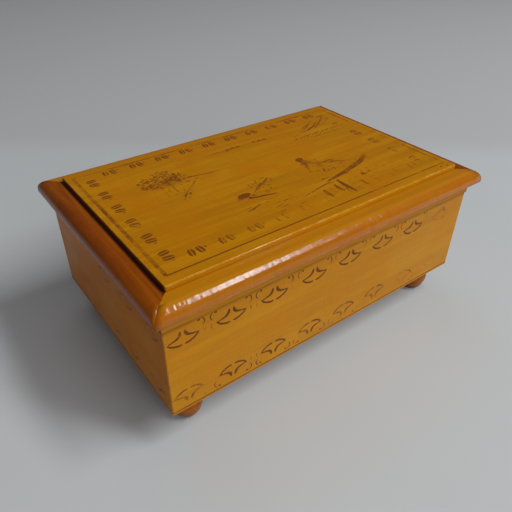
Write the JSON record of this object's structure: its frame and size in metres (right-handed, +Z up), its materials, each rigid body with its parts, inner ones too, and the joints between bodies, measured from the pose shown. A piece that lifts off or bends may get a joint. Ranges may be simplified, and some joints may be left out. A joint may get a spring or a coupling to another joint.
{
  "type": "cylinder music box",
  "caption": "Varnished wooden music box on ball feet with a hinged, moulded lid, a lined trinket room and a wind-up cylinder movement under glass.",
  "frame": {"origin": "on the table, under the centre of the box", "axes": "+X along the long side, +Y from the front to the hinged back, +Z up"},
  "size_m": [0.1364, 0.0894, 0.0575],
  "materials": {
    "case_wood": "thick honey-amber gloss varnish over fine, ribbon-figured wood",
    "lid_wood": "thick honey-amber gloss varnish, worn dark-brown transfer print",
    "board_wood": "plain softwood, thin varnish",
    "foot_wood": "reddish-brown gloss stain",
    "inner_wood": "thin satin varnish",
    "velvet": "wine-red velvet over card",
    "glass": "clear float glass, ground edge",
    "brass": "polished, lightly lacquered",
    "hinge_brass": "dull, aged",
    "gilt_bed": "fine-sand gilt casting",
    "comb_steel": "ground tempered steel",
    "steel": "polished",
    "screw_steel": "slotted, blued edge",
    "spring_steel": "blued spring steel",
    "lead": "dull grey lead",
    "zinc": "plated wood screw"
  },
  "bodies": {
    "case": {"barrel_bridge": "brass", "bearing_post": "brass", "bedplate": "gilt_bed", "bottom_board": "board_wood", "clutch_spring": "spring_steel", "comb": "comb_steel", "comb_screws": "screw_steel", "comb_weights": "lead", "foot_back_left": "foot_wood", "foot_back_right": "foot_wood", "foot_front_left": "foot_wood", "foot_front_right": "foot_wood", "foot_screws": "zinc", "frame_screws": "screw_steel", "glass_brads": "brass", "glass_cover": "glass", "glass_ledges": "inner_wood", "governor_bracket": "brass", "governor_plate_front": "brass", "governor_plate_rear": "brass", "hinge_left_case_leaf": "hinge_brass", "hinge_pins": "steel", "hinge_right_case_leaf": "hinge_brass", "hinge_screws_case": "hinge_brass", "lining_back": "velvet", "lining_floor": "velvet", "lining_front": "velvet", "lining_left": "velvet", "lining_right": "velvet", "movement_screws": "zinc", "partition": "inner_wood", "stop_spring": "spring_steel", "wall_back": "case_wood", "wall_front": "case_wood", "wall_left": "case_wood", "wall_right": "case_wood"},
    "lid": {"lid_panel": "lid_wood", "lid_lining": "velvet", "lid_moulding_front": "lid_wood", "lid_moulding_back": "lid_wood", "lid_moulding_left": "lid_wood", "lid_moulding_right": "lid_wood", "hinge_left_lid_leaf": "hinge_brass", "hinge_right_lid_leaf": "hinge_brass", "hinge_screws_lid": "hinge_brass"},
    "winder": {"winding_arbor": "steel", "winding_key": "steel"},
    "barrel": {"contrate_wheel": "brass", "barrel_drum": "brass", "barrel_cap": "brass", "mainspring": "spring_steel"},
    "cylinder": {"pinned_cylinder": "brass", "cylinder_arbor": "steel", "drive_pinion": "steel", "great_wheel": "brass"},
    "second_arbor": {"second_wheel": "brass"},
    "third_arbor": {"third_wheel": "brass"},
    "governor": {"worm": "steel", "governor_fan": "brass"},
    "stop": {"stop_rod": "steel"}
  },
  "joints": [
    {"name": "lid_hinge", "type": "hinge", "parent": "case", "child": "lid", "pos_m": [0, 0.0429, 0.0465], "axis": [-1, 0, 0], "range_deg": [0, 100]},
    {"name": "stop_rod_slide", "type": "slide", "parent": "case", "child": "stop", "axis": [0, 0, 1], "range_m": [0, 0.0025], "deforming": ["stop_spring"]},
    {"name": "key_wind", "type": "hinge", "parent": "case", "child": "winder", "pos_m": [-0.0435, 0.0205, 0.008], "axis": [0, 0, 1], "range_deg": [0, 3240]},
    {"name": "cylinder_spin", "type": "hinge", "parent": "case", "child": "cylinder", "pos_m": [-0.0435, 0, 0.0285], "axis": [0, 1, 0], "continuous": true},
    {"name": "barrel_spin", "type": "hinge", "parent": "case", "child": "barrel", "pos_m": [-0.0435, 0.0205, 0.024], "axis": [0, 0, 1], "continuous": true},
    {"name": "second_spin", "type": "hinge", "parent": "case", "child": "second_arbor", "pos_m": [-0.03372, 0, 0.02642], "axis": [0, 1, 0], "continuous": true},
    {"name": "third_spin", "type": "hinge", "parent": "case", "child": "third_arbor", "pos_m": [-0.02579, 0, 0.02782], "axis": [0, 1, 0], "continuous": true},
    {"name": "governor_spin", "type": "hinge", "parent": "case", "child": "governor", "pos_m": [-0.01949, -0.0284, 0.028], "axis": [0, 0, 1], "continuous": true}
  ],
  "couplings": [
    {"joint": "stop_rod_slide", "follows": "lid_hinge", "m_per_rad": 0.001432},
    {"joint": "barrel_spin", "follows": "cylinder_spin", "ratio": -0.33333},
    {"joint": "second_spin", "follows": "cylinder_spin", "ratio": -4},
    {"joint": "third_spin", "follows": "cylinder_spin", "ratio": 14.4},
    {"joint": "governor_spin", "follows": "cylinder_spin", "ratio": 345.6}
  ]
}
